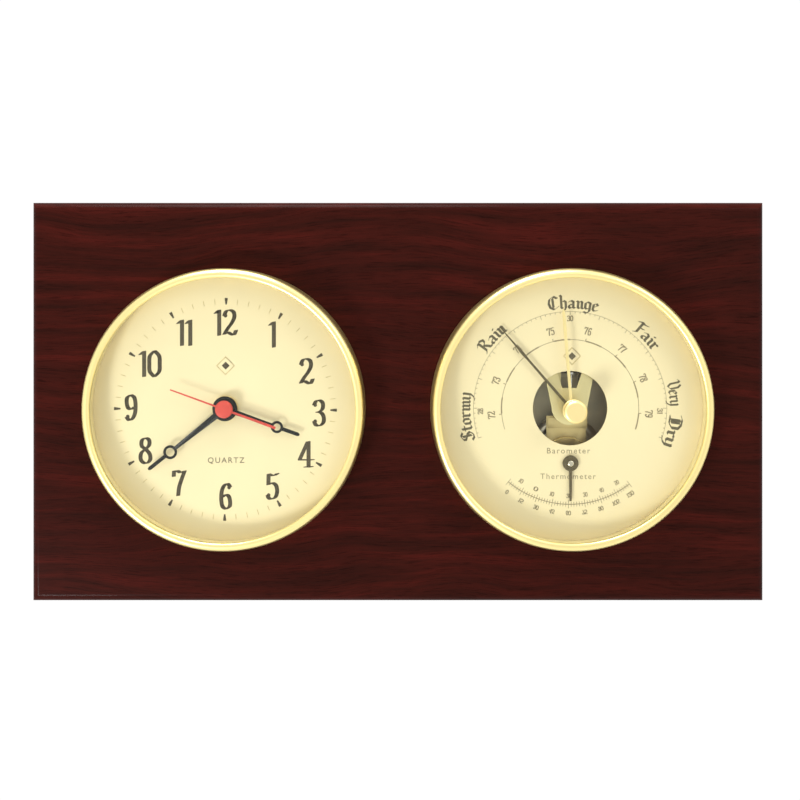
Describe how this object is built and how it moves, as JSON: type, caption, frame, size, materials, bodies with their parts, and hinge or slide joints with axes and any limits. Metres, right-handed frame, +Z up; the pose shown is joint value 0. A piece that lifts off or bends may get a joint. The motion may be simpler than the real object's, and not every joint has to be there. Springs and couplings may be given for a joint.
{
  "type": "clock and barometer wall plaque",
  "caption": "Mahogany wall board with a brass-cased quartz clock on the left and a brass-cased aneroid barometer with a thermometer on the right, hung by a keyhole plate.",
  "frame": {"origin": "middle of the board's flat back face, which lies against the wall", "axes": "+X to the right and +Z up as seen by a reader, +Y into the wall, so the dials face -Y"},
  "size_m": [0.2794, 0.033, 0.1524],
  "materials": {
    "mahogany": "mahogany stain under satin lacquer, straight wavy grain",
    "polished_brass": "polished and lacquered",
    "brushed_brass": "plain brushed",
    "aged_brass": "dull, darkened",
    "glass": "clear flat glass",
    "cream_dial": "printed cream enamel",
    "cream_ring": "satin",
    "black_hand": "satin black",
    "red_hand": "satin red",
    "dark_steel": "dark plain steel",
    "bright_steel": "bright drawn steel",
    "silvered": "nickel silver, spun",
    "blue_steel": "blued spring steel",
    "copper_wire": "enamelled copper wire",
    "black_plastic": "moulded, fine texture",
    "white_plastic": "moulded acetal",
    "black_rubber": "matt",
    "green_board": "solder mask",
    "cell_jacket": "plain printed sleeve, no marks"
  },
  "bodies": {
    "board": {"board": "mahogany", "hanger_plate": "aged_brass", "hanger_screw_bottom": "aged_brass", "hanger_screw_top": "aged_brass"},
    "clock_insert": {"clock_bezel": "polished_brass", "clock_glass": "glass", "clock_spacer": "cream_ring", "clock_dial": "cream_dial", "clock_case": "brushed_brass", "clock_grip_ring": "black_rubber", "clock_nut": "brushed_brass", "movement_front_shell": "black_plastic", "movement_cover": "black_plastic", "train_plate": "white_plastic", "circuit_board": "green_board", "stator": "dark_steel", "drive_coil": "copper_wire", "battery_cell": "cell_jacket", "battery_contact_plus": "bright_steel", "battery_contact_minus": "bright_steel"},
    "minute_work": {"centre_wheel": "brushed_brass", "minute_hand": "black_hand"},
    "hour_work": {"hour_wheel": "white_plastic", "hour_hand": "black_hand"},
    "second_work": {"second_wheel": "white_plastic", "second_hand": "red_hand"},
    "third_wheel": {"third_wheel": "white_plastic"},
    "minute_wheel": {"minute_wheel": "white_plastic"},
    "setting_knob": {"setting_knob": "white_plastic"},
    "intermediate_wheel": {"intermediate_wheel": "white_plastic"},
    "rotor": {"rotor": "dark_steel"},
    "barometer_insert": {"barometer_bezel": "polished_brass", "barometer_glass": "glass", "barometer_spacer": "cream_ring", "barometer_dial": "cream_dial", "barometer_case": "brushed_brass", "barometer_grip_ring": "black_rubber", "base_plate": "dark_steel", "aneroid_capsule": "silvered", "spring_block": "aged_brass", "leaf_spring": "aged_brass", "rocker_frame": "dark_steel", "chain": "bright_steel", "hairspring": "blue_steel", "lower_bridge": "brushed_brass", "bridge_plate": "brushed_brass", "bridge_post_left": "bright_steel", "bridge_post_right": "bright_steel", "thermometer_bracket": "dark_steel", "thermometer_coil": "aged_brass"},
    "pressure_hand": {"pointer_arbor": "bright_steel", "pressure_hand": "black_hand"},
    "main_lever": {"main_lever": "aged_brass", "link": "bright_steel"},
    "rocker": {"rocker": "bright_steel"},
    "set_hand": {"set_hand": "polished_brass", "set_knob": "polished_brass"},
    "thermometer_hand": {"thermometer_arbor": "silvered", "thermometer_pointer": "black_hand"},
    "adjusting_screw": {"adjusting_screw": "aged_brass"}
  },
  "joints": [
    {"name": "clock_pull", "type": "slide", "parent": "board", "child": "clock_insert", "axis": [0, -1, 0], "range_m": [0, 0.03]},
    {"name": "minute_turn", "type": "hinge", "parent": "clock_insert", "child": "minute_work", "pos_m": [-0.0652, -0.02, -0.002], "axis": [0, 1, 0], "continuous": true},
    {"name": "hour_turn", "type": "hinge", "parent": "clock_insert", "child": "hour_work", "pos_m": [-0.0652, -0.02, -0.002], "axis": [0, 1, 0], "continuous": true},
    {"name": "second_turn", "type": "hinge", "parent": "clock_insert", "child": "second_work", "pos_m": [-0.0652, -0.02, -0.002], "axis": [0, 1, 0], "continuous": true},
    {"name": "third_turn", "type": "hinge", "parent": "clock_insert", "child": "third_wheel", "pos_m": [-0.07404, -0.0133, -0.002], "axis": [0, 1, 0], "continuous": true},
    {"name": "minute_wheel_turn", "type": "hinge", "parent": "clock_insert", "child": "minute_wheel", "pos_m": [-0.0612, -0.0165, 0.00493], "axis": [0, 1, 0], "continuous": true},
    {"name": "setting_knob_turn", "type": "hinge", "parent": "clock_insert", "child": "setting_knob", "pos_m": [-0.057, -0.01, 0.0122], "axis": [0, 1, 0], "continuous": true},
    {"name": "intermediate_turn", "type": "hinge", "parent": "clock_insert", "child": "intermediate_wheel", "pos_m": [-0.07055, -0.01, 0.00335], "axis": [0, 1, 0], "continuous": true},
    {"name": "rotor_turn", "type": "hinge", "parent": "clock_insert", "child": "rotor", "pos_m": [-0.07167, -0.008, 0.00973], "axis": [0, 1, 0], "continuous": true},
    {"name": "barometer_pull", "type": "slide", "parent": "board", "child": "barometer_insert", "axis": [0, -1, 0], "range_m": [0, 0.03]},
    {"name": "pressure_turn", "type": "hinge", "parent": "barometer_insert", "child": "pressure_hand", "pos_m": [0.0652, -0.02, -0.002], "axis": [0, 1, 0], "range_deg": [-68, 151], "deforming": ["chain", "hairspring", "aneroid_capsule", "leaf_spring"]},
    {"name": "main_lever_tilt", "type": "hinge", "parent": "barometer_insert", "child": "main_lever", "pos_m": [0.0652, -0.012, -0.0385], "axis": [1, 0, 0], "range_deg": [-1.85, 0.84]},
    {"name": "rocker_turn", "type": "hinge", "parent": "barometer_insert", "child": "rocker", "pos_m": [0.0652, -0.0095, 0.011], "axis": [1, 0, 0], "range_deg": [-10, 22.2]},
    {"name": "set_hand_turn", "type": "hinge", "parent": "barometer_insert", "child": "set_hand", "pos_m": [0.0652, -0.02, -0.002], "axis": [0, 1, 0], "continuous": true},
    {"name": "thermometer_turn", "type": "hinge", "parent": "barometer_insert", "child": "thermometer_hand", "pos_m": [0.0652, -0.02, -0.0227], "axis": [0, 1, 0], "range_deg": [-42, 42], "deforming": ["thermometer_coil"]},
    {"name": "adjusting_screw_turn", "type": "hinge", "parent": "barometer_insert", "child": "adjusting_screw", "pos_m": [0.0652, -0.002, -0.022], "axis": [0, 1, 0], "range_deg": [-180, 180]}
  ],
  "couplings": [
    {"joint": "hour_turn", "follows": "minute_turn", "ratio": 0.083333},
    {"joint": "second_turn", "follows": "minute_turn", "ratio": 60},
    {"joint": "third_turn", "follows": "minute_turn", "ratio": -8},
    {"joint": "minute_wheel_turn", "follows": "minute_turn", "ratio": -0.33333},
    {"joint": "setting_knob_turn", "follows": "minute_turn", "ratio": 0.83333},
    {"joint": "intermediate_turn", "follows": "minute_turn", "ratio": -360},
    {"joint": "rotor_turn", "follows": "minute_turn", "ratio": 1800},
    {"joint": "main_lever_tilt", "follows": "pressure_turn", "ratio": -0.012195},
    {"joint": "rocker_turn", "follows": "pressure_turn", "ratio": 0.14667}
  ]
}
